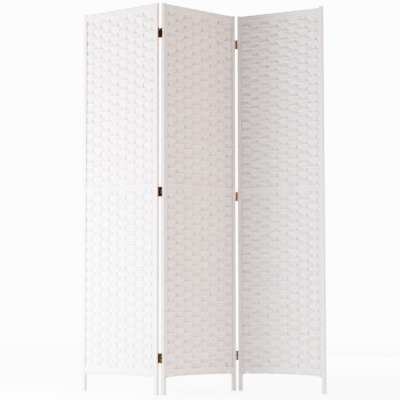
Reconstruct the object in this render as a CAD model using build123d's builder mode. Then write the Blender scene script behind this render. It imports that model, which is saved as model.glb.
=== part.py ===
"""Woven folding screen: three tall white panels of woven paper cord in a zigzag, on brass butt hinges."""

from build123d import *
import os

os.makedirs("parts", exist_ok=True)

# Panels, in millimetres
panel_names = ("left", "centre", "right")
panel_width = 444.5
panel_height = 1784.0
post_width = 18.0
post_depth = 18.0
post_chamfer = 2.0
post_proud = 5.0
leg_height = 78.0

# How far each panel is turned out of one straight line as the screen stands, in degrees
panel_turns = (-38.5, 38.5, -32.0)

# Woven infill: bands of cord run across, over and under upright slats
slat_count = 8
weave_crest = 15.0
weave_valley = 11.0
hem_arch = 4.5
hem_drop = 6.0
hem_corner = 14.0

# Cross rails, hidden in the weave and tenoned into the posts
rail_depth = 8.0
rail_height = 22.0
top_cover = 7.0
hem_cover = 12.0
middle_rail_raise = 51.0
tenon_depth = 5.0
tenon_height = 14.0
tenon_length = 7.0

# Slats that the cord passes around, let into the rails
slat_width = 10.0
slat_depth = 3.0
slat_socket = 9.0

# Butt hinges at each junction, rolled from sheet round a pin
bottom_hinge_height = 165.0
middle_hinge_drop = 28.0
top_hinge_drop = 139.0
leaf_height = 47.0
leaf_reach = 15.0
leaf_thickness = 1.2
barrel_radius = 2.7
middle_knuckle = 19.0
pin_stand_off = 2.9
screw_radius = 1.7
screw_spacing = 27.0

# Clearances
running_fit = 0.05
knuckle_gap = 0.2
barrel_gap = 0.35
joinery_gap = 0.1

# Worked out from the sizes above
half_depth = post_depth / 2
clear_span = panel_width - 2 * post_width
slat_pitch = clear_span / slat_count
warp_lines = [post_width + slat_pitch * (step + 0.5) for step in range(slat_count)]
weave_top = panel_height - post_proud
middle_rail_height = panel_height / 2 + middle_rail_raise
rail_floors = {
    "bottom": leg_height + hem_cover,
    "middle": middle_rail_height - rail_height / 2,
    "top": weave_top - top_cover - rail_height,
}
hinge_heights = {
    "bottom": bottom_hinge_height,
    "middle": middle_rail_height - middle_hinge_drop,
    "top": panel_height - top_hinge_drop,
}
slat_floor = rail_floors["bottom"] + rail_height - slat_socket
slat_ceiling = rail_floors["top"] + slat_socket
pin_depth = half_depth + pin_stand_off
pin_radius = barrel_radius - leaf_thickness - running_fit
right_end_pin = panel_width + barrel_radius
left_end_pin = -barrel_radius


def panel_plane(pin, pin_across, pin_back, turn):
    """A panel's plane: X runs across it, Y to its back and Z up, from its left end on the floor."""
    across = Vector(1, 0, 0).rotate(Axis.Z, turn)
    back = Vector(0, 1, 0).rotate(Axis.Z, turn)
    return Plane(origin=pin - across * pin_across - back * pin_back, x_dir=across, z_dir=(0, 0, 1))


def screen_planes(first_pin):
    """The three panels, with a pin behind the first junction and a pin before the second."""
    left = panel_plane(first_pin, right_end_pin, pin_depth, panel_turns[0])
    centre = panel_plane(first_pin, left_end_pin, pin_depth, panel_turns[1])
    second_pin = centre.from_local_coords(Vector(right_end_pin, -pin_depth, 0))
    right = panel_plane(second_pin, left_end_pin, -pin_depth, panel_turns[2])
    return left, centre, right


def footprint_middle(planes):
    """The middle of the box round the chamfered corners of all three panels."""
    corners = [
        plane.from_local_coords(Vector(panel_width / 2 + side * across, face * back, 0))
        for plane in planes
        for side in (1, -1)
        for face in (1, -1)
        for across, back in (
            (panel_width / 2, half_depth - post_chamfer),
            (panel_width / 2 - post_chamfer, half_depth),
        )
    ]
    xs = [corner.X for corner in corners]
    ys = [corner.Y for corner in corners]
    return Vector((min(xs) + max(xs)) / 2, (min(ys) + max(ys)) / 2, 0)


def flute_depth(across):
    """Half the weave's thickness: most at each slat, least half way between two and at the posts."""
    half_pitch = slat_pitch / 2
    from_warp = (across - post_width) % slat_pitch - half_pitch
    return (weave_crest - (weave_crest - weave_valley) * (from_warp / half_pitch) ** 2) / 2


def save(part, name):
    """Label a finished piece and write it to its own file."""
    part.label = name
    export_step(part, f"parts/{name}.step")


def make_post(name, plane, post_middle, inward):
    """A square upright with chamfered edges that runs down to be a leg, with a mortise for each rail."""
    mortise_middle = post_middle + inward * (post_width - tenon_length) / 2
    mortise_floor = (rail_height - tenon_height) / 2 - joinery_gap
    with BuildPart() as post:
        with BuildSketch(plane) as post_outline:
            with Locations((post_middle, 0)):
                Rectangle(post_width, post_depth)
            chamfer(post_outline.vertices(), post_chamfer)
        extrude(amount=panel_height)
        chamfer(post.faces().sort_by(Axis.Z)[-1].edges(), post_chamfer)
        for rail_floor in rail_floors.values():
            with BuildSketch(plane.offset(rail_floor + mortise_floor)):
                with Locations((mortise_middle, 0)):
                    Rectangle(tenon_length, tenon_depth + 2 * joinery_gap)
            extrude(amount=tenon_height + 2 * joinery_gap, mode=Mode.SUBTRACT)
    save(post.part, name)


def make_rail(name, plane, rail_floor, socket_floor, socket_height):
    """A cross rail with shouldered tenons and a socket or slot for each slat."""
    with BuildPart() as rail:
        with BuildSketch(plane.offset(rail_floor)):
            with Locations((panel_width / 2, 0)):
                Rectangle(clear_span, rail_depth)
        extrude(amount=rail_height)
        with BuildSketch(plane.offset(rail_floor + (rail_height - tenon_height) / 2)):
            with Locations((panel_width / 2, 0)):
                Rectangle(clear_span + 2 * (tenon_length - joinery_gap), tenon_depth)
        extrude(amount=tenon_height)
        with BuildSketch(plane.offset(socket_floor)):
            with Locations([(warp, 0) for warp in warp_lines]):
                Rectangle(slat_width + 2 * joinery_gap, slat_depth + 2 * joinery_gap)
        extrude(amount=socket_height, mode=Mode.SUBTRACT)
    save(rail.part, name)


def make_slat(name, plane, warp):
    """One upright slat, from its socket in the bottom rail to its socket in the top rail."""
    with BuildPart() as slat:
        with BuildSketch(plane.offset(slat_floor)):
            with Locations((warp, 0)):
                Rectangle(slat_width, slat_depth)
        extrude(amount=slat_ceiling - slat_floor)
    save(slat.part, name)


def make_weave(name, plane):
    """The woven infill: a fluted sheet round the slats and rails, with an arched hem."""
    left_side = post_width
    right_side = panel_width - post_width
    valleys = [left_side + slat_pitch * step for step in range(slat_count + 1)]
    with BuildPart() as weave:
        with BuildSketch(plane.offset(leg_height - hem_drop)):
            with BuildLine():
                for face in (1, -1):
                    for start, stop in zip(valleys, valleys[1:]):
                        middle = (start + stop) / 2
                        ThreePointArc(
                            (start, face * flute_depth(start)),
                            (middle, face * flute_depth(middle)),
                            (stop, face * flute_depth(stop)),
                        )
                for end in (left_side, right_side):
                    Line((end, flute_depth(end)), (end, -flute_depth(end)))
            make_face()
        extrude(amount=weave_top - leg_height + hem_drop)

        # The space under the hem, which arches up and turns down beside each leg
        hem_plane = Plane(origin=plane.origin, x_dir=plane.x_dir, z_dir=-plane.y_dir)
        hem_start = left_side + hem_corner
        hem_stop = right_side - hem_corner
        hem_bend = hem_corner * 0.3
        with BuildSketch(hem_plane):
            with BuildLine():
                ThreePointArc(
                    (left_side, leg_height - hem_drop),
                    (left_side + hem_bend, leg_height - hem_bend / 2),
                    (hem_start, leg_height),
                )
                ThreePointArc(
                    (hem_start, leg_height),
                    (panel_width / 2, leg_height + hem_arch),
                    (hem_stop, leg_height),
                )
                ThreePointArc(
                    (hem_stop, leg_height),
                    (right_side - hem_bend, leg_height - hem_bend / 2),
                    (right_side, leg_height - hem_drop),
                )
                Polyline(
                    (right_side, leg_height - hem_drop),
                    (right_side, 0),
                    (left_side, 0),
                    (left_side, leg_height - hem_drop),
                )
            make_face()
        extrude(amount=post_depth, both=True, mode=Mode.SUBTRACT)

        # Room for the rails and the slats inside
        for rail_floor in rail_floors.values():
            with BuildSketch(plane.offset(rail_floor)):
                with Locations((panel_width / 2, 0)):
                    Rectangle(clear_span, rail_depth)
            extrude(amount=rail_height, mode=Mode.SUBTRACT)
        with BuildSketch(plane.offset(slat_floor)):
            with Locations([(warp, 0) for warp in warp_lines]):
                Rectangle(slat_width, slat_depth)
        extrude(amount=slat_ceiling - slat_floor, mode=Mode.SUBTRACT)
    save(weave.part, name)


def make_leaf(name, plane, end_side, pin_side, hinge_height, holds_pin):
    """A hinge leaf on a panel's end face: a plate with screw holes, rolled round the pin."""
    pin_across = right_end_pin if end_side > 0 else left_end_pin
    pin_back = pin_side * pin_depth
    plate_across = pin_across - end_side * (barrel_radius - leaf_thickness / 2)
    plate_start = barrel_radius + barrel_gap
    plate_back = pin_back - pin_side * (plate_start + leaf_reach) / 2
    root_back = pin_back - pin_side * plate_start / 2
    leaf_floor = hinge_height - leaf_height / 2
    outer_knuckle = (leaf_height - middle_knuckle) / 2 - knuckle_gap
    if holds_pin:
        bore = pin_radius
        knuckles = {leaf_floor: outer_knuckle, leaf_floor + leaf_height - outer_knuckle: outer_knuckle}
    else:
        bore = pin_radius + running_fit
        knuckles = {hinge_height - middle_knuckle / 2: middle_knuckle}
    with BuildPart() as leaf:
        with BuildSketch(plane.offset(leaf_floor)):
            with Locations((plate_across, plate_back)):
                Rectangle(leaf_thickness, leaf_reach - plate_start)
        extrude(amount=leaf_height)
        for knuckle_floor, knuckle_length in knuckles.items():
            with BuildSketch(plane.offset(knuckle_floor)):
                with Locations((pin_across, pin_back)):
                    Circle(barrel_radius)
                with Locations((plate_across, root_back)):
                    Rectangle(leaf_thickness, plate_start)
                with Locations((pin_across, pin_back)):
                    Circle(bore, mode=Mode.SUBTRACT)
            extrude(amount=knuckle_length)
        open_side = pin_across - end_side * (barrel_radius - leaf_thickness)
        screw_middle = plane.from_local_coords(Vector(open_side, plate_back, hinge_height))
        with Locations(Plane(origin=screw_middle, x_dir=(0, 0, 1), z_dir=plane.x_dir * end_side)):
            with GridLocations(screw_spacing, 1, 2, 1):
                Hole(screw_radius, depth=leaf_thickness * 2)
    save(leaf.part, name)


def make_pin(name, plane, end_side, pin_side, hinge_height):
    """A hinge pin, as long as its barrel."""
    pin_across = right_end_pin if end_side > 0 else left_end_pin
    with BuildPart() as pin:
        with BuildSketch(plane.offset(hinge_height - leaf_height / 2)):
            with Locations((pin_across, pin_side * pin_depth)):
                Circle(pin_radius)
        extrude(amount=leaf_height)
    save(pin.part, name)


# The middle of the footprint stands on the origin
first_pin = footprint_middle(screen_planes(Vector(0, 0, 0))) * -1
planes = screen_planes(first_pin)

for panel, plane in zip(panel_names, planes):
    make_post(f"{panel}_panel_left_post", plane, post_width / 2, 1)
    make_post(f"{panel}_panel_right_post", plane, panel_width - post_width / 2, -1)
    make_rail(f"{panel}_panel_bottom_rail", plane, rail_floors["bottom"], slat_floor, slat_socket)
    make_rail(f"{panel}_panel_middle_rail", plane, rail_floors["middle"], rail_floors["middle"], rail_height)
    make_rail(f"{panel}_panel_top_rail", plane, rail_floors["top"], rail_floors["top"], slat_socket)
    for number, warp in enumerate(warp_lines, start=1):
        make_slat(f"{panel}_panel_slat_{number}", plane, warp)
    make_weave(f"{panel}_panel_weave", plane)

# The first junction folds back and the second folds forward, and the centre panel holds every pin
left, centre, right = planes
for level, height in hinge_heights.items():
    make_leaf(f"first_{level}_hinge_leaf_left", left, 1, 1, height, False)
    make_leaf(f"first_{level}_hinge_leaf_centre", centre, -1, 1, height, True)
    make_pin(f"first_{level}_hinge_pin", centre, -1, 1, height)
    make_leaf(f"second_{level}_hinge_leaf_right", right, -1, -1, height, False)
    make_leaf(f"second_{level}_hinge_leaf_centre", centre, 1, -1, height, True)
    make_pin(f"second_{level}_hinge_pin", centre, 1, -1, height)

# Where the two pins stand
second_pin = centre.from_local_coords(Vector(right_end_pin, -pin_depth, 0))
print(f"first pin {first_pin.X:.3f} {first_pin.Y:.3f}")
print(f"second pin {second_pin.X:.3f} {second_pin.Y:.3f}")
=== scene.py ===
"""Woven folding screen: paper cord woven over slats, painted posts and brass hinges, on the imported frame."""

import math

import bmesh
import bpy
import numpy as np
from mathutils import Matrix, Vector


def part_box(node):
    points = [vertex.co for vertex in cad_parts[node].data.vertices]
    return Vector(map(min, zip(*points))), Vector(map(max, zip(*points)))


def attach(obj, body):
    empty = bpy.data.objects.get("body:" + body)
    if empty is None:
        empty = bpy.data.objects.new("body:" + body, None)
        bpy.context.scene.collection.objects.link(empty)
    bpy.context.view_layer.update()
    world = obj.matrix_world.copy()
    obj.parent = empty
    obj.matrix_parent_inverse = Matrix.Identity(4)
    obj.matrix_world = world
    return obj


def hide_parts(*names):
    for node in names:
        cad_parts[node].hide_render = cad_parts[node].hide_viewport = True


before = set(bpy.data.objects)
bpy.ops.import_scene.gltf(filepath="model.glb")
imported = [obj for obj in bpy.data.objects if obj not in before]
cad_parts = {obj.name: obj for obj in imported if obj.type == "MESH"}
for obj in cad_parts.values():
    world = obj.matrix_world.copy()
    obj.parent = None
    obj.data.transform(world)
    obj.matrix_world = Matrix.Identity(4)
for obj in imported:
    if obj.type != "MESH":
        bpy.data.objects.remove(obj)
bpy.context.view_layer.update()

bl_info = {
    "name": "Woven folding screen",
    "version": (1, 0, 0),
    "blender": (4, 5, 0),
    "location": "3D View > Sidebar > Screen",
    "description": "Builds a three-panel folding screen with cord woven over slats",
    "category": "Object",
}

PANELS = ("left", "centre", "right")
HINGE_LEVELS = ("bottom", "middle", "top")
FULL_TURN = 2.0 * math.pi

# A butt hinge: the height of a leaf and of its middle knuckle, the plate's thickness, the barrel's radius,
# the gap from barrel to plate, the play at a lip and how far the pin is from the middle of the panel's depth
LEAF_HEIGHT = 0.047
MIDDLE_KNUCKLE = 0.019
LEAF_THICKNESS = 0.0012
BARREL_RADIUS = 0.0027
BARREL_GAP = 0.00035
LIP_GAP = 0.0002
PIN_DEPTH = 0.0119

# How many flat faces follow the knuckle's round along a lip
LIP_STEPS = 4

# A leaf's screws: how far each is above or below its middle, and from the middle of the panel's depth
SCREW_SPREAD = 0.0135
SCREW_DEPTH = 0.002875

# The hinge leaves: junction, leaf, panel, which end of the panel it is on and which face its barrel is on
LEAVES = (
    ("first", "left", "left", 1, 1),
    ("first", "centre", "centre", -1, 1),
    ("second", "centre", "centre", 1, -1),
    ("second", "right", "right", -1, -1),
)


def millimetres(name, description, default, low=0.0):
    """A length property shown in the scene's units and given in millimetres."""
    return bpy.props.FloatProperty(
        name=name,
        description=description,
        default=default / 1000.0,
        min=low / 1000.0,
        precision=5,
        unit="LENGTH",
        subtype="DISTANCE",
    )


def paint(name, description, default):
    """A colour property."""
    return bpy.props.FloatVectorProperty(
        name=name, description=description, default=default, size=3, min=0.0, max=1.0, subtype="COLOR"
    )


def watts(name, description, default):
    """The power of a lamp."""
    return bpy.props.FloatProperty(name=name, description=description, default=default, min=0.0, unit="POWER")


def brightness(name, description, default):
    """A plain level of light."""
    return bpy.props.FloatProperty(name=name, description=description, default=default, min=0.0)


class FOLDINGSCREEN_PG_weave(bpy.types.PropertyGroup):
    """Sizes and colours of the woven cord."""

    cord_depth: millimetres("Cord depth", "Half the depth of a cord where it crosses between slats", 2.7)
    crest: millimetres("Crest", "How far the middle of a cord stands off the slats' middle", 4.55)
    flattening: millimetres("Flattening", "How much a cord spreads where it lies over a slat", 1.4)
    spread: millimetres("Spread", "How far the outer cords of a band move apart over a slat", 2.3)
    wander: millimetres("Wander", "How far a cord strays from its level line", 0.9)
    lay: millimetres("Lay", "The length of one turn of the twisted paper", 11.0, 1.0)
    rail_relief: millimetres("Rail relief", "How far the crests of the cords over a rail stand out", 1.1)
    cord_colour: paint("Cord colour", "Painted paper cord", (0.82, 0.79, 0.775))
    # Painted shade: the colour that the cord darkens to in its twist grooves
    groove_shade_colour: paint("Groove colour", "Where the paint thins between the twists", (0.66, 0.61, 0.57))


class FOLDINGSCREEN_PG_frame(bpy.types.PropertyGroup):
    """Sizes and colours of the posts, slats and rails."""

    post_width: millimetres("Post width", "The side of a square post", 18.0, 5.0)
    post_rounding: millimetres("Post rounding", "Radius of a post's long edges", 2.0)
    paint_colour: paint("Post paint", "Satin paint on the posts", (0.74, 0.705, 0.685))
    slat_colour: paint("Slat paint", "Flat paint on the slats and rails", (0.79, 0.755, 0.735))


class FOLDINGSCREEN_PG_hinges(bpy.types.PropertyGroup):
    """Sizes and colours of the hinges and their screws."""

    screw_head: millimetres("Screw head", "Radius of a screw's head", 2.9)
    screw_rise: millimetres("Screw rise", "How far a head stands off its leaf", 0.9)
    brass_colour: paint("Brass", "Aged brass of the leaves and barrels", (0.20, 0.105, 0.04))
    tarnish_colour: paint("Tarnish", "Darker patches on the brass", (0.05, 0.026, 0.012))


class FOLDINGSCREEN_PG_stage(bpy.types.PropertyGroup):
    """The floor and the lights."""

    floor_colour: paint("Floor colour", "Plain pale floor", (0.92, 0.92, 0.92))
    floor_glow: brightness("Floor brightness", "How bright the floor looks near the screen", 7.0)
    key_power: watts("Key light", "Power of the soft light at the left", 430.0)
    side_power: watts("Side light", "Power of the soft light at the right", 118.0)
    back_power: watts("Back light", "Power of the soft light behind", 260.0)
    sky_strength: brightness("Surroundings", "How much light the surroundings give", 0.42)
    backdrop: brightness("Backdrop", "How bright the surroundings look", 12.5)


def post_middles(panel):
    """The middles of a panel's left and right posts, on the floor."""
    middles = []
    for side in ("left", "right"):
        low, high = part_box(f"{panel}_panel_{side}_post")
        middles.append(Vector(((low.x + high.x) / 2, (low.y + high.y) / 2, 0.0)))
    return middles


def panel_place(panel):
    """The matrix of a panel: X from its left end, Y to its back from the middle of its depth, Z up."""
    left, right = post_middles(panel)
    across = (right - left).normalized()
    back = Vector((-across.y, across.x, 0.0))
    foot = left - across * bpy.context.scene.foldingscreen_frame.post_width / 2
    return Matrix(
        (
            (across.x, back.x, 0.0, foot.x),
            (across.y, back.y, 0.0, foot.y),
            (0.0, 0.0, 1.0, 0.0),
            (0.0, 0.0, 0.0, 1.0),
        )
    )


def panel_width(panel):
    """A panel's width over both posts."""
    left, right = post_middles(panel)
    return (right - left).length + bpy.context.scene.foldingscreen_frame.post_width


def slat_middles(panel):
    """How far across a panel each slat's middle is."""
    inverse = panel_place(panel).inverted()
    found = []
    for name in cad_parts:
        if name.startswith(f"{panel}_panel_slat_"):
            low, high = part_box(name)
            found.append((inverse @ ((low + high) / 2)).x)
    return sorted(found)


def finished_mesh(name, shape, finish):
    """Turns a bmesh into a mesh with a finish."""
    mesh = bpy.data.meshes.new(name)
    shape.to_mesh(mesh)
    shape.free()
    mesh.materials.append(finish)
    return mesh


def new_piece(mesh, body, slot, *replaced):
    """Puts a finished mesh in the scene as a piece that rides on a body."""
    piece = bpy.data.objects.new(mesh.name, mesh)
    bpy.context.scene.collection.objects.link(piece)
    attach(piece, body)
    if replaced:
        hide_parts(*replaced)
    return piece


# Materials


class Finish:
    """A node material under construction, with short ways to add the nodes that these finishes share."""

    def __init__(self, name):
        self.material = bpy.data.materials.new(name)
        self.material.use_nodes = True
        self.tree = self.material.node_tree
        self.shader = self.tree.nodes["Principled BSDF"]
        self.places = self.tree.nodes.new("ShaderNodeTexCoord").outputs["Object"]

    def node(self, kind, **settings):
        """A new node with its settings."""
        made = self.tree.nodes.new(kind)
        for key, value in settings.items():
            setattr(made, key, value)
        return made

    def feed(self, source, socket):
        """Links an output to an input, or sets the input's value."""
        if isinstance(source, bpy.types.NodeSocket):
            self.tree.links.new(source, socket)
        else:
            socket.default_value = source

    def maths(self, operation, first, second=0.0):
        """One Math node."""
        made = self.node("ShaderNodeMath", operation=operation)
        self.feed(first, made.inputs[0])
        self.feed(second, made.inputs[1])
        return made.outputs[0]

    def stretched(self, scale):
        """Object coordinates stretched by a scale for each axis."""
        made = self.node("ShaderNodeMapping", vector_type="POINT")
        self.feed(self.places, made.inputs["Vector"])
        made.inputs["Scale"].default_value = scale
        return made.outputs["Vector"]

    def noise(self, scale, detail=3.0, roughness=0.55, places=None):
        """A noise pattern."""
        made = self.node("ShaderNodeTexNoise")
        self.feed(self.places if places is None else places, made.inputs["Vector"])
        made.inputs["Scale"].default_value = scale
        made.inputs["Detail"].default_value = detail
        made.inputs["Roughness"].default_value = roughness
        return made.outputs["Fac"]

    def spread(self, source, low, high, to_low, to_high):
        """Maps a range of values to another and clamps them."""
        made = self.node("ShaderNodeMapRange", clamp=True)
        self.feed(source, made.inputs["Value"])
        for name, value in (("From Min", low), ("From Max", high), ("To Min", to_low), ("To Max", to_high)):
            made.inputs[name].default_value = value
        return made.outputs["Result"]

    def blend(self, share, first, second):
        """A mix of two colours."""
        made = self.node("ShaderNodeMix", data_type="RGBA")
        self.feed(share, made.inputs["Factor"])
        self.feed(first if isinstance(first, bpy.types.NodeSocket) else (*first, 1.0), made.inputs["A"])
        self.feed(second if isinstance(second, bpy.types.NodeSocket) else (*second, 1.0), made.inputs["B"])
        return made.outputs["Result"]

    def relief(self, height, depth, strength):
        """A bump of that depth in metres, on top of any bump that is there."""
        made = self.node("ShaderNodeBump")
        made.inputs["Strength"].default_value = strength
        made.inputs["Distance"].default_value = depth
        self.feed(height, made.inputs["Height"])
        earlier = self.shader.inputs["Normal"].links
        if earlier:
            self.feed(earlier[0].from_socket, made.inputs["Normal"])
        self.feed(made.outputs["Normal"], self.shader.inputs["Normal"])


# How many plies of paper are twisted into a cord
PLIES = 2.0


def paper_cord_finish():
    """Twisted paper cord under thin paint: spiral grooves with painted shade in them, fibres and cords that
    differ slightly in tone.
    """
    settings = bpy.context.scene.foldingscreen_weave
    made = Finish("paper_cord")
    twist = made.node("ShaderNodeAttribute", attribute_name="cord_twist").outputs["Vector"]
    parts = made.node("ShaderNodeSeparateXYZ")
    made.feed(twist, parts.inputs[0])
    round_cord = made.maths("ARCTAN2", parts.outputs[2], parts.outputs[1])
    along = made.maths("MULTIPLY", parts.outputs[0], FULL_TURN / settings.lay)
    drift = made.maths("MULTIPLY", made.noise(scale=38.0, detail=2.0), 3.2)
    phase = made.maths("ADD", made.maths("ADD", along, made.maths("MULTIPLY", round_cord, PLIES)), drift)
    wave = made.maths("ABSOLUTE", made.maths("SINE", made.maths("MULTIPLY", phase, 0.5)))
    ply = made.maths("POWER", wave, 0.6)
    fibre = made.noise(scale=620.0, detail=4.0, roughness=0.65)
    tone = made.node("ShaderNodeAttribute", attribute_name="cord_tone").outputs["Fac"]
    bright = [min(1.0, channel * 1.05) for channel in settings.cord_colour]
    dull = [channel * 0.93 for channel in settings.cord_colour]
    warm = [channel * share for channel, share in zip(settings.cord_colour, (0.98, 0.95, 0.90))]
    patches = made.spread(made.noise(scale=9.0), 0.42, 0.68, 0.0, 0.55)
    # Painted shade: the colour darkens in the twist grooves, where the ply bump is low
    groove_shade = made.spread(ply, 0.15, 0.75, 0.55, 0.0)
    colour = made.blend(tone, dull, bright)
    colour = made.blend(patches, colour, warm)
    colour = made.blend(groove_shade, colour, settings.groove_shade_colour)
    made.feed(colour, made.shader.inputs["Base Color"])
    made.feed(made.spread(fibre, 0.3, 0.7, 0.66, 0.88), made.shader.inputs["Roughness"])
    made.relief(ply, depth=0.0007, strength=0.8)
    made.relief(fibre, depth=0.0002, strength=0.5)
    made.shader.inputs["Sheen Weight"].default_value = 0.12
    made.shader.inputs["Sheen Roughness"].default_value = 0.6
    made.shader.inputs["Specular IOR Level"].default_value = 0.3
    return made.material


# Dark brown for the darker patches near the floor
FOOT_DARK_COLOUR = (0.42, 0.36, 0.29)


def painted_wood_finish(name, colour, gloss, dark_feet):
    """Brushed paint over straight-grained wood, with duller patches and perhaps darker patches near the floor.
    """
    made = Finish(name)
    grain = made.noise(scale=1.0, detail=4.0, roughness=0.6, places=made.stretched((420.0, 420.0, 9.0)))
    brush = made.noise(scale=1.0, detail=2.0, roughness=0.5, places=made.stretched((900.0, 900.0, 26.0)))
    patches = made.noise(scale=14.0)
    dull = [channel * 0.94 for channel in colour]
    base = made.blend(made.spread(patches, 0.4, 0.65, 0.0, 0.7), colour, dull)
    base = made.blend(made.spread(grain, 0.35, 0.75, 0.0, 0.22), base, [channel * 0.82 for channel in colour])
    if dark_feet:
        # Darker brown in noisy patches, strongest at the floor and gone 5 cm up
        height = made.node("ShaderNodeSeparateXYZ")
        made.feed(made.places, height.inputs[0])
        near_floor = made.spread(height.outputs[2], 0.004, 0.05, 1.0, 0.0)
        foot_patches = made.spread(made.noise(scale=160.0, detail=4.0, roughness=0.7), 0.52, 0.62, 0.0, 0.5)
        base = made.blend(made.maths("MULTIPLY", near_floor, foot_patches), base, FOOT_DARK_COLOUR)
    made.feed(base, made.shader.inputs["Base Color"])
    made.feed(made.spread(patches, 0.35, 0.7, gloss, gloss + 0.14), made.shader.inputs["Roughness"])
    made.relief(grain, depth=0.00025, strength=0.5)
    made.relief(brush, depth=0.00008, strength=0.5)
    made.shader.inputs["Specular IOR Level"].default_value = 0.45
    return made.material


def aged_brass_finish(name, brass, tarnish, gloss):
    """Antique brass: brown metal with darker tarnish in patches and fine rubbing marks."""
    made = Finish(name)
    cloud = made.noise(scale=230.0, detail=4.0, roughness=0.6)
    specks = made.noise(scale=1500.0, detail=3.0, roughness=0.6)
    share = made.spread(cloud, 0.40, 0.62, 0.0, 0.85)
    base = made.blend(share, brass, tarnish)
    base = made.blend(made.spread(specks, 0.6, 0.75, 0.0, 0.5), base, [channel * 0.5 for channel in tarnish])
    made.feed(base, made.shader.inputs["Base Color"])
    made.feed(made.spread(cloud, 0.35, 0.65, gloss, gloss + 0.22), made.shader.inputs["Roughness"])
    made.relief(specks, depth=0.00006, strength=0.5)
    made.shader.inputs["Metallic"].default_value = 1.0
    return made.material


# Woven cord

# A straight cord before it is woven: its steps along, the faces round it and the radii from cord to cord
STATIONS = 64
SIDES = 8
ROW_STEP = 4.0

# The weave: how much taller a cord is than its row, a seam cord's share of the depth, how steeply a cord
# dives between slats, how far its ends run into the posts and how far the twist shifts from cord to cord
SQUEEZE = 1.12
SEAM_SHARE = 0.4
DIVE = 1.5
CORD_TUCK = 0.0006
TWIST_SHIFT = 0.0137

# The flat cords on a rail: half the rail's depth, half a cord's depth, how much of its half height a cord
# loses between its crests and how far past the rail the cords reach
RAIL_FACE = 0.004
RAIL_CORD = 0.0016
RAIL_CORD_LOSS = 0.0005
RAIL_OVERHANG = 0.0012

# The twined pairs: how far a cord swings from the slats' middle, less that share of half its own depth
TWINE_FACE = 0.0056
TWINE_OVERLAP = 0.35

# The pairs under the hem and along the top edge: height from the rail's cords, lift of the twist, and half
# the height and half the depth of a cord
HEM_PAIR = (-0.0055, 0.0017, 0.0038, 0.0034)
TOP_PAIR = (0.0027, 0.0004, 0.0029, 0.0032)

# For each panel, how many bands of three cords lie below and above the middle rail, and the heights of the
# flat seam cords
BANDS = {"left": (35, 34), "centre": (35, 34), "right": (39, 38)}
SEAMS = {"left": (), "centre": (0.960,), "right": (0.378, 0.960, 1.341)}

# The hem: its arch, the height up to which it shows in the rows and the height over which that fades, and
# for each panel how far it comes down beside the left and right posts and how wide those corners are
HEM_ARCH = 0.0045
HEM_ZONE = 0.26
HEM_FADE = 0.18
HEM_CORNERS = {"left": (0.004, 0.004), "centre": (0.009, 0.004), "right": (0.004, 0.008)}
CORNER_WIDTHS = {"left": (0.020, 0.020), "centre": (0.016, 0.020), "right": (0.020, 0.048)}

# The top edge: the height from which its rise shows in the rows, the height over which that grows, how soon
# the right end's rise is reached, and for each panel its rise at the left and right posts
TOP_ZONE = 1.66
TOP_FADE = 0.115
TOP_SLOPE = 1.15
TOP_RISES = {"left": (0.0036, 0.0036), "centre": (0.0036, 0.0036), "right": (0.0034, -0.0022)}

# The slant of the rows low on a panel: the height where it is greatest, the height over which it fades, and
# for each panel how much higher the right end of a row is than its left end
SLANT_HEIGHT = 0.42
SLANT_FADE = 0.36
SLANTS = {"left": 0.001, "centre": 0.005, "right": 0.008}

# The first panel's random seed and the step to the next panel's
FIRST_SEED = 45
SEED_STEP = 7


def straight_cords(count, length):
    """That many straight round cords of radius 1 above each other, all along X from the same start."""
    shape = bmesh.new()
    bmesh.ops.create_circle(shape, cap_ends=False, segments=SIDES, radius=1.0)
    bmesh.ops.rotate(shape, verts=shape.verts, cent=(0, 0, 0), matrix=Matrix.Rotation(math.pi / 2, 3, "Y"))
    ring = list(shape.edges)
    for _ in range(STATIONS):
        grown = bmesh.ops.extrude_edge_only(shape, edges=ring)["geom"]
        front = {item for item in grown if isinstance(item, bmesh.types.BMVert)}
        bmesh.ops.translate(shape, verts=list(front), vec=(length / STATIONS, 0.0, 0.0))
        ring = [e for e in grown if isinstance(e, bmesh.types.BMEdge) and set(e.verts) <= front]
    bmesh.ops.holes_fill(shape, edges=[e for e in shape.edges if e.is_boundary], sides=0)
    bmesh.ops.recalc_face_normals(shape, faces=shape.faces)
    # The cords are doubled until there are enough of them
    done = 1
    while done < count:
        more = min(done, count - done)
        limit = (more - 0.5) * ROW_STEP
        chosen = [v for v in shape.verts if v.co.z < limit]
        held = set(chosen)
        faces = [f for f in shape.faces if all(v in held for v in f.verts)]
        edges = [e for e in shape.edges if all(v in held for v in e.verts)]
        made = bmesh.ops.duplicate(shape, geom=chosen + edges + faces)["geom"]
        copies = [item for item in made if isinstance(item, bmesh.types.BMVert)]
        bmesh.ops.translate(shape, verts=copies, vec=(0.0, 0.0, done * ROW_STEP))
        done += more
    return shape


class Row:
    """One cord's place in the weave: how it runs, its height, its side, its offset and how thick it is.

    The offset is a woven cord's place in its band (-1, 0 or 1), the slats at which a rail's cord has its
    crests (1 or -1), or how far up and down a twined pair's twist goes.
    """

    def __init__(self, run, height, sign, offset, half_height, half_depth):
        self.run = run
        self.height = height
        self.sign = sign
        self.offset = offset
        self.half_height = half_height
        self.half_depth = half_depth


def woven_rows(floor, ceiling, bands, cord_depth, seams):
    """Bands of three cords that pass over one slat and under the next, with a flat cord at each seam."""
    rows = []
    pitch = (ceiling - floor) / (3 * bands)
    for band in range(bands):
        sign = 1 if band % 2 == 0 else -1
        for cord in range(3):
            height = floor + pitch * (3 * band + cord + 0.5)
            flat = any(abs(height - seam) < pitch / 2 for seam in seams)
            half_depth = cord_depth * (SEAM_SHARE if flat else 1.0)
            rows.append(Row("woven", height, sign, cord - 1, pitch / 2 * SQUEEZE, half_depth))
    return rows


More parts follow.
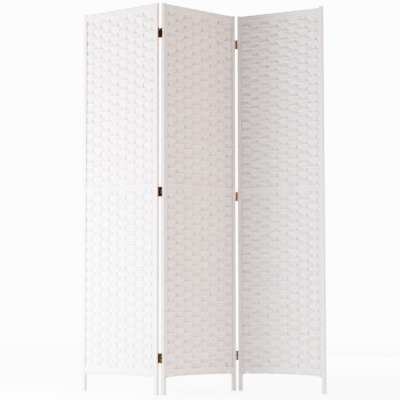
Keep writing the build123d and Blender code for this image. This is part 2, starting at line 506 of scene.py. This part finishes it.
def rail_rows(floor, ceiling, first_sign):
    """Three flat cords before a rail and three behind it, with a crest at every other slat as bands have."""
    rows = []
    pitch = (ceiling - floor) / 3
    for cord in range(3):
        height = floor + pitch * (cord + 0.5)
        for face in (1, -1):
            rows.append(Row("flat", height, face, first_sign, pitch / 2 * SQUEEZE, RAIL_CORD))
    return rows


def twined_rows(edge, pair):
    """Two cords twisted round each other along an edge."""
    rise, lift, half_height, half_depth = pair
    return [Row("twined", edge + rise, sign, lift, half_height, half_depth) for sign in (1, -1)]


def smooth_noise(seed, count, knots, width, likeness=0):
    """A smooth random line through some knots for each of count cords, evened out likeness times."""
    values = np.random.RandomState(seed).uniform(-1.0, 1.0, (count, knots))
    for _ in range(likeness):
        # A divisor below three keeps most of the width while neighbours grow alike
        values = (values + np.roll(values, 1, axis=0) + np.roll(values, -1, axis=0)) / 2.4
    places = np.linspace(0.0, 1.0, knots)

    def at(row, share):
        spot = np.clip(share, 0.0, 1.0) * (knots - 1)
        low = np.minimum(spot.astype(int), knots - 2)
        part = spot - low
        part = part * part * (3 - 2 * part)
        return width * (values[row, low] * (1 - part) + values[row, low + 1] * part)

    return at


def weave_mesh(name, panel, rows, warps, start, stop, hem, seed):
    """Shapes straight cords into woven ones, row by row, and puts them on their panel."""
    settings = bpy.context.scene.foldingscreen_weave
    shape = straight_cords(len(rows), stop - start)
    mesh = bpy.data.meshes.new(name)
    shape.to_mesh(mesh)
    shape.free()

    spots = np.empty(len(mesh.vertices) * 3)
    mesh.vertices.foreach_get("co", spots)
    spots = spots.reshape(-1, 3)
    row = np.rint(spots[:, 2] / ROW_STEP).astype(int)
    ring_back = spots[:, 1]
    ring_up = spots[:, 2] - row * ROW_STEP
    across = spots[:, 0] + start
    share = (across - start) / (stop - start)

    pitch = warps[1] - warps[0]
    phase = math.pi * (across - warps[0]) / pitch
    swing = np.cos(phase)
    over = np.tanh(DIVE * swing) / math.tanh(DIVE)
    lying = over * over

    def each(kind):
        return np.array([getattr(r, kind) for r in rows])[row]

    run = each("run")
    woven, flat, twined = run == "woven", run == "flat", run == "twined"
    sign, offset = each("sign"), each("offset")
    height, half_height, half_depth = each("height"), each("half_height"), each("half_depth")

    bands = len(rows) // 3 + 1
    drift = smooth_noise(seed, len(rows), 9, settings.wander * 0.28)(row, share)
    sway = smooth_noise(seed + 1, bands, 5, settings.wander, likeness=5)(row // 3, share)
    fullness = 1.0 + smooth_noise(seed + 2, len(rows), 17, 0.05)(row, share)

    # From front to back: woven cords pass the slats, flat ones lie on a rail and twined ones change sides
    crests = 0.5 * (1.0 + sign * offset * over)
    middle_back = np.where(woven, -sign * settings.crest * over, 0.0)
    middle_back = np.where(flat, -sign * (RAIL_FACE + RAIL_CORD + settings.rail_relief * crests), middle_back)
    middle_back = np.where(twined, -sign * (TWINE_FACE - half_depth * TWINE_OVERLAP) * swing, middle_back)
    thinner = np.where(woven, settings.flattening * 0.3 * lying, 0.0)

    # Up and down: the cords of a band move apart over a slat and spread there, and every cord strays a little
    middle_up = height + np.where(woven, offset * settings.spread * lying + drift + sway, 0.0)
    middle_up = middle_up + np.where(flat, 0.3 * drift, 0.0)
    middle_up = middle_up + np.where(twined, sign * offset * np.sin(phase), 0.0)
    middle_up = middle_up + hem(across, middle_up)
    taller = np.where(woven, settings.flattening * lying, 0.0)
    taller = taller - np.where(flat, RAIL_CORD_LOSS * (1.0 - crests), 0.0)

    placed = np.empty_like(spots)
    placed[:, 0] = across
    placed[:, 1] = middle_back + ring_back * (half_depth - thinner) * fullness
    placed[:, 2] = middle_up + ring_up * (half_height + taller) * fullness
    place = np.array(panel_place(panel))
    mesh.vertices.foreach_set("co", (placed @ place[:3, :3].T + place[:3, 3]).ravel())

    twist = np.stack([across + row * TWIST_SHIFT, ring_back, ring_up], axis=1)
    mesh.attributes.new("cord_twist", "FLOAT_VECTOR", "POINT").data.foreach_set("vector", twist.ravel())
    tones = np.random.RandomState(seed + 3).uniform(0.0, 1.0, len(rows))[row]
    mesh.attributes.new("cord_tone", "FLOAT", "POINT").data.foreach_set("value", tones)
    mesh.shade_smooth()
    mesh.update()
    return mesh


def hem_line(panel, left, right):
    """How far the rows sag, arch and slant low on a panel, and rise or sag with its top edge."""
    corners, widths, rises = HEM_CORNERS[panel], CORNER_WIDTHS[panel], TOP_RISES[panel]

    def lift(across, height):
        share = (across - left) / (right - left)
        arch = HEM_ARCH * (1 - (2 * share - 1) ** 2)
        first = np.clip(1 - (across - left) / widths[0], 0, 1) ** 2 * corners[0]
        last = np.clip(1 - (right - across) / widths[1], 0, 1) ** 2 * corners[1]
        low = np.clip((HEM_ZONE - height) / HEM_FADE, 0, 1)
        high = np.clip((height - TOP_ZONE) / TOP_FADE, 0, 1)
        rise = rises[0] + (rises[1] - rises[0]) * np.clip(share * TOP_SLOPE, 0, 1)
        slant = np.clip(1 - np.abs(height - SLANT_HEIGHT) / SLANT_FADE, 0, 1) * SLANTS[panel]
        return (arch - first - last) * low * low + high * rise + slant * (share - 0.5)

    return lift


# Operators


class FOLDINGSCREEN_OT_weave(bpy.types.Operator):
    """Weave the cord of each panel over and under its slats"""

    bl_idname = "foldingscreen.weave"
    bl_label = "Weave the panels"

    def execute(self, context):
        settings = context.scene.foldingscreen_weave
        finish = paper_cord_finish()
        depth = settings.cord_depth
        post = context.scene.foldingscreen_frame.post_width
        for number, panel in enumerate(PANELS):
            start = post - CORD_TUCK
            stop = panel_width(panel) - post + CORD_TUCK
            warps = slat_middles(panel)
            hem = hem_line(panel, start, stop)
            seed = FIRST_SEED + SEED_STEP * number
            below, above = BANDS[panel]
            rails = [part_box(f"{panel}_panel_{level}_rail") for level in HINGE_LEVELS]
            bottom, middle, top = [(low.z - RAIL_OVERHANG, high.z + RAIL_OVERHANG) for low, high in rails]
            lower = twined_rows(bottom[0], HEM_PAIR)
            lower += rail_rows(*bottom, -1)
            lower += woven_rows(bottom[1], middle[0], below, depth, SEAMS[panel])
            upper = rail_rows(*middle, -1 if below % 2 == 0 else 1)
            upper += woven_rows(middle[1], top[0], above, depth, SEAMS[panel])
            upper += rail_rows(*top, 1)
            upper += twined_rows(top[1], TOP_PAIR)
            for part, rows in (("lower", lower), ("upper", upper)):
                mesh = weave_mesh(f"{panel}_panel_{part}_cords", panel, rows, warps, start, stop, hem, seed)
                mesh.materials.append(finish)
                new_piece(mesh, f"{panel}_panel", "woven_cord", f"{panel}_panel_weave")
        return {"FINISHED"}


class FOLDINGSCREEN_OT_posts(bpy.types.Operator):
    """Round the edges of the painted posts"""

    bl_idname = "foldingscreen.posts"
    bl_label = "Make the posts"

    def execute(self, context):
        settings = context.scene.foldingscreen_frame
        finish = painted_wood_finish("post_paint", settings.paint_colour, 0.38, True)
        half = settings.post_width / 2
        for panel in PANELS:
            for side, middle in (("left", half), ("right", panel_width(panel) - half)):
                node = f"{panel}_panel_{side}_post"
                shape = rounded_post(middle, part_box(node)[1].z, settings.post_width, settings.post_rounding)
                bmesh.ops.transform(shape, matrix=panel_place(panel), verts=shape.verts)
                mesh = finished_mesh(f"{node}_rounded", shape, finish)
                mesh.shade_smooth()
                piece = new_piece(mesh, f"{panel}_panel", "painted_post", node)
                piece.modifiers.new("flat_faces", "WEIGHTED_NORMAL").keep_sharp = True
        return {"FINISHED"}


def rounded_post(middle, height, width, rounding):
    """A square post at a place across its panel, rounded along its edges and top but not round its foot."""
    shape = bmesh.new()
    bmesh.ops.create_cube(shape, size=1.0)
    bmesh.ops.scale(shape, verts=shape.verts, vec=(width, width, height))
    bmesh.ops.translate(shape, verts=shape.verts, vec=(middle, 0.0, height / 2))
    bmesh.ops.bevel(
        shape,
        geom=[e for e in shape.edges if max(v.co.z for v in e.verts) > height / 2],
        offset=rounding,
        offset_type="OFFSET",
        segments=4,
        profile=0.5,
        affect="EDGES",
        material=-1,
    )
    return shape


class FOLDINGSCREEN_OT_slats(bpy.types.Operator):
    """Paint the slats and rails that the cord is woven round"""

    bl_idname = "foldingscreen.slats"
    bl_label = "Paint the slats and rails"

    def execute(self, context):
        settings = context.scene.foldingscreen_frame
        finish = painted_wood_finish("slat_paint", settings.slat_colour, 0.6, False)
        for name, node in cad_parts.items():
            if "_slat_" in name or name.endswith("_rail"):
                node.data.materials.clear()
                node.data.materials.append(finish)
        return {"FINISHED"}


class FOLDINGSCREEN_OT_hinges(bpy.types.Operator):
    """Finish the hinges in aged brass and put in their screws"""

    bl_idname = "foldingscreen.hinges"
    bl_label = "Finish the hinges"

    def execute(self, context):
        settings = context.scene.foldingscreen_hinges
        leaf_brass = aged_brass_finish("leaf_brass", settings.brass_colour, settings.tarnish_colour, 0.32)
        bright = [min(1.0, channel * 1.5) for channel in settings.brass_colour]
        screw_brass = aged_brass_finish("screw_brass", bright, settings.tarnish_colour, 0.28)
        for name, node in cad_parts.items():
            if "_hinge_" in name:
                node.data.materials.clear()
                node.data.materials.append(screw_brass if name.endswith("_pin") else leaf_brass)
        for junction, leaf, panel, end_side, pin_side in LEAVES:
            for level in HINGE_LEVELS:
                low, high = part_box(f"{junction}_{level}_hinge_leaf_{leaf}")
                screws = leaf_screws(panel, (low.z + high.z) / 2, end_side, pin_side, settings)
                mesh = finished_mesh(f"{junction}_{level}_screws_{leaf}", screws, screw_brass)
                new_piece(mesh, f"{panel}_panel", "brass")
                lips = leaf_lips(panel, low.z, high.z, end_side, pin_side, leaf == "centre")
                mesh = finished_mesh(f"{junction}_{level}_leaf_lips_{leaf}", lips, leaf_brass)
                new_piece(mesh, f"{panel}_panel", "brass")
        return {"FINISHED"}


def leaf_screws(panel, middle, end_side, pin_side, settings):
    """The heads of a leaf's two screws, each turned its own way."""
    place = panel_place(panel)
    face = panel_width(panel) + LEAF_THICKNESS if end_side > 0 else -LEAF_THICKNESS
    shape = bmesh.new()
    for up in (-SCREW_SPREAD, SCREW_SPREAD):
        stand = place @ Matrix.Translation((face, pin_side * SCREW_DEPTH, middle + up))
        stand = stand @ Matrix.Rotation(end_side * math.pi / 2, 4, "Y")
        stand = stand @ Matrix.Rotation(math.radians(35 + 900 * up + 40 * end_side), 4, "Z")
        add_screw(shape, stand, settings.screw_head, settings.screw_rise)
    return shape


def leaf_lips(panel, low, high, end_side, pin_side, has_outer_knuckles):
    """The lips of a leaf, one beside each knuckle of the other leaf."""
    outer = (LEAF_HEIGHT - MIDDLE_KNUCKLE) / 2
    if has_outer_knuckles:
        spans = [((low + high) / 2 - MIDDLE_KNUCKLE / 2 + LIP_GAP, MIDDLE_KNUCKLE - 2 * LIP_GAP)]
    else:
        spans = [(low, outer - LIP_GAP), (high - outer + LIP_GAP, outer - LIP_GAP)]
    pin = panel_width(panel) + BARREL_RADIUS if end_side > 0 else -BARREL_RADIUS
    place = panel_place(panel)
    shape = bmesh.new()
    for floor, tall in spans:
        add_lip(shape, place, (pin, pin_side * PIN_DEPTH, floor), end_side, pin_side, tall)
    bmesh.ops.recalc_face_normals(shape, faces=shape.faces)
    return shape


def add_lip(shape, place, pin, end_side, pin_side, tall):
    """Adds the lip of a leaf's plate that follows a knuckle, up from a point on the pin's line."""
    reach = BARREL_RADIUS + LIP_GAP
    plate_end = BARREL_RADIUS + BARREL_GAP
    edge = [(BARREL_RADIUS, plate_end), (BARREL_RADIUS - LEAF_THICKNESS, plate_end)]
    for step in range(LIP_STEPS + 1):
        out = BARREL_RADIUS - LEAF_THICKNESS * (1 - step / LIP_STEPS)
        edge.append((out, math.sqrt(reach * reach - out * out)))
    corners = []
    for out, along in edge:
        corners.append(shape.verts.new((pin[0] - end_side * out, pin[1] - pin_side * along, pin[2])))
    face = shape.faces.new(corners)
    grown = bmesh.ops.extrude_face_region(shape, geom=[face])["geom"]
    top = [item for item in grown if isinstance(item, bmesh.types.BMVert)]
    bmesh.ops.translate(shape, verts=top, vec=(0.0, 0.0, tall))
    bmesh.ops.transform(shape, matrix=place, verts=corners + top)


def add_screw(shape, stand, radius, rise):
    """Adds an oval head with a cross recess to a shape, with its foot on the stand's plane and Z out."""
    # The recess, as shares of the head's radius and of its rise
    half_slot = 0.11
    slot_reach = 0.62
    slot_depth = 0.45
    head = bmesh.new()
    bmesh.ops.create_uvsphere(head, u_segments=20, v_segments=10, radius=1.0)
    cut(head, Vector((0.0, 0.0, 0.0)), Vector((0.0, 0.0, -1.0)), clear_outer=True)
    bmesh.ops.scale(head, verts=head.verts, vec=(radius, radius, rise))
    for turn in (0.0, math.pi / 2):
        across = Matrix.Rotation(turn, 3, "Z")
        for side in (1, -1):
            wall = Vector((0.0, side * radius * half_slot, 0.0))
            end = Vector((side * radius * slot_reach, 0.0, 0.0))
            cut(head, across @ wall, across @ Vector((0.0, 1.0, 0.0)))
            cut(head, across @ end, across @ Vector((1.0, 0.0, 0.0)))
    recess = []
    for face in head.faces:
        middle = face.calc_center_median()
        x, y = abs(middle.x) / radius, abs(middle.y) / radius
        if (x < half_slot and y < slot_reach) or (y < half_slot and x < slot_reach):
            recess.append(face)
    sunk = bmesh.ops.extrude_face_region(head, geom=recess)["geom"]
    bmesh.ops.delete(head, geom=recess, context="FACES")
    low = [item for item in sunk if isinstance(item, bmesh.types.BMVert)]
    bmesh.ops.translate(head, verts=low, vec=(0.0, 0.0, -slot_depth * rise))
    bmesh.ops.holes_fill(head, edges=[e for e in head.edges if e.is_boundary], sides=0)
    bmesh.ops.remove_doubles(head, verts=head.verts, dist=1e-6)
    bmesh.ops.recalc_face_normals(head, faces=head.faces)
    bmesh.ops.transform(head, matrix=stand, verts=head.verts)
    spare = bpy.data.meshes.new("spare")
    head.to_mesh(spare)
    head.free()
    shape.from_mesh(spare)
    bpy.data.meshes.remove(spare)


def cut(shape, place, outwards, clear_outer=False):
    """Cuts a whole shape along a plane, and takes away what is outside it if asked."""
    everything = shape.verts[:] + shape.edges[:] + shape.faces[:]
    bmesh.ops.bisect_plane(shape, geom=everything, plane_co=place, plane_no=outwards, clear_outer=clear_outer)


# Stage

# Where the floor's own brightness starts and stops changing into the backdrop's, and the floor's radius
NEAR_FLOOR = 0.8
FAR_FLOOR = 7.0
FLOOR_RADIUS = 30.0

# The surroundings' colour as a light and as they look
SKY_TINT = (1.0, 0.86, 0.80, 1.0)
PLAIN_WHITE = (1.0, 1.0, 1.0, 1.0)

# The lamps: name, place, aim, size, the setting that gives the power, the share of that power, and tint
LAMPS = (
    ("key_light", (-2.6, -0.38, 1.2), (-0.4, 0.0, 0.8), 1.6, "key_power", 1.0, (1.0, 0.77, 0.86)),
    ("near_light", (-1.5, -0.5, 0.45), (-0.4, 0.0, 0.5), 1.0, "key_power", 0.26, (0.84, 0.95, 1.0)),
    ("side_light", (2.4, -1.0, 1.0), (0.4, 0.0, 0.8), 1.4, "side_power", 1.0, (1.0, 0.70, 0.58)),
    ("back_light", (1.0, 3.4, 1.5), (0.0, 0.0, 0.9), 2.4, "back_power", 1.0, (1.0, 0.98, 0.97)),
    ("top_light", (0.1, 0.2, 4.3), (0.0, 0.0, 0.9), 2.4, "back_power", 0.35, (1.0, 0.92, 0.94)),
)

# The camera: its place, how far it looks up and to the right in degrees, its lens and its sideways shift
CAMERA_PLACE = (-0.2692, -5.8450, 0.4417)
CAMERA_UP = 4.363
CAMERA_RIGHT = 1.624
CAMERA_LENS = 113.74
CAMERA_SHIFT = 0.05


def floor_finish(settings):
    """A pale floor that looks as bright as the backdrop far from the screen."""
    made = Finish("pale_floor")
    tint = made.spread(made.noise(scale=1.6, detail=2.0), 0.3, 0.7, 0.0, 1.0)
    duller = [channel * 0.985 for channel in settings.floor_colour]
    made.feed(made.blend(tint, settings.floor_colour, duller), made.shader.inputs["Base Color"])
    made.shader.inputs["Roughness"].default_value = 0.85
    made.shader.inputs["Specular IOR Level"].default_value = 0.1
    distance = made.node("ShaderNodeVectorMath", operation="LENGTH")
    made.feed(made.places, distance.inputs[0])
    away = distance.outputs["Value"]
    glow = made.spread(away, NEAR_FLOOR, FAR_FLOOR, settings.floor_glow, settings.backdrop)
    seen = made.node("ShaderNodeLightPath").outputs["Is Camera Ray"]
    made.shader.inputs["Emission Color"].default_value = PLAIN_WHITE
    made.feed(made.maths("MULTIPLY", glow, seen), made.shader.inputs["Emission Strength"])
    return made.material


def surroundings(settings):
    """A world that gives a weak warm light and looks plain white."""
    world = bpy.data.worlds.new("studio")
    world.use_nodes = True
    nodes, links = world.node_tree.nodes, world.node_tree.links
    lit = nodes["Background"]
    lit.inputs["Color"].default_value = SKY_TINT
    lit.inputs["Strength"].default_value = settings.sky_strength
    plain = nodes.new("ShaderNodeBackground")
    plain.inputs["Color"].default_value = PLAIN_WHITE
    plain.inputs["Strength"].default_value = settings.backdrop
    chosen = nodes.new("ShaderNodeMixShader")
    links.new(nodes.new("ShaderNodeLightPath").outputs["Is Camera Ray"], chosen.inputs[0])
    links.new(lit.outputs[0], chosen.inputs[1])
    links.new(plain.outputs[0], chosen.inputs[2])
    links.new(chosen.outputs[0], nodes["World Output"].inputs["Surface"])
    return world


class FOLDINGSCREEN_OT_stage(bpy.types.Operator):
    """Set the floor, the lights and the camera"""

    bl_idname = "foldingscreen.stage"
    bl_label = "Set the stage"

    def execute(self, context):
        settings = context.scene.foldingscreen_stage
        scene = context.scene
        shape = bmesh.new()
        bmesh.ops.create_circle(shape, cap_ends=True, segments=96, radius=FLOOR_RADIUS)
        mesh = finished_mesh("studio_floor", shape, floor_finish(settings))
        floor = bpy.data.objects.new("studio_floor", mesh)
        scene.collection.objects.link(floor)
        scene.world = surroundings(settings)

        for name, spot, aim, size, power, share, tint in LAMPS:
            lamp = bpy.data.lights.new(name, "AREA")
            lamp.shape = "DISK"
            lamp.size = size
            lamp.energy = getattr(settings, power) * share
            lamp.color = tint
            holder = bpy.data.objects.new(name, lamp)
            scene.collection.objects.link(holder)
            holder.location = spot
            holder.rotation_euler = (Vector(aim) - Vector(spot)).to_track_quat("-Z", "Y").to_euler()

        camera = bpy.data.cameras.new("camera")
        camera.lens = CAMERA_LENS
        camera.sensor_width = 36.0
        camera.shift_x = CAMERA_SHIFT
        camera.clip_end = 200.0
        holder = bpy.data.objects.new("camera", camera)
        scene.collection.objects.link(holder)
        holder.location = CAMERA_PLACE
        holder.rotation_euler = (math.radians(90 + CAMERA_UP), 0.0, math.radians(-CAMERA_RIGHT))
        scene.camera = holder
        return {"FINISHED"}


class FOLDINGSCREEN_PT_sidebar(bpy.types.Panel):
    """The steps of the folding screen and their settings"""

    bl_label = "Folding screen"
    bl_idname = "FOLDINGSCREEN_PT_sidebar"
    bl_space_type = "VIEW_3D"
    bl_region_type = "UI"
    bl_category = "Screen"

    def draw(self, context):
        for step, group in STEPS:
            box = self.layout.box()
            box.operator(step.bl_idname)
            if group:
                settings = getattr(context.scene, group)
                for name in settings.__annotations__:
                    box.prop(settings, name)


GROUPS = {
    "foldingscreen_weave": FOLDINGSCREEN_PG_weave,
    "foldingscreen_frame": FOLDINGSCREEN_PG_frame,
    "foldingscreen_hinges": FOLDINGSCREEN_PG_hinges,
    "foldingscreen_stage": FOLDINGSCREEN_PG_stage,
}

STEPS = (
    (FOLDINGSCREEN_OT_posts, "foldingscreen_frame"),
    (FOLDINGSCREEN_OT_slats, None),
    (FOLDINGSCREEN_OT_weave, "foldingscreen_weave"),
    (FOLDINGSCREEN_OT_hinges, "foldingscreen_hinges"),
    (FOLDINGSCREEN_OT_stage, "foldingscreen_stage"),
)

CLASSES = (*GROUPS.values(), *(step for step, _ in STEPS), FOLDINGSCREEN_PT_sidebar)


def register():
    for made in CLASSES:
        bpy.utils.register_class(made)
    for name, group in GROUPS.items():
        setattr(bpy.types.Scene, name, bpy.props.PointerProperty(type=group))


def unregister():
    for name in GROUPS:
        delattr(bpy.types.Scene, name)
    for made in reversed(CLASSES):
        bpy.utils.unregister_class(made)


def main():
    """Builds the whole screen on its stage."""
    register()
    bpy.ops.foldingscreen.posts()
    bpy.ops.foldingscreen.slats()
    bpy.ops.foldingscreen.weave()
    bpy.ops.foldingscreen.hinges()
    bpy.ops.foldingscreen.stage()


if __name__ == "__main__":
    main()
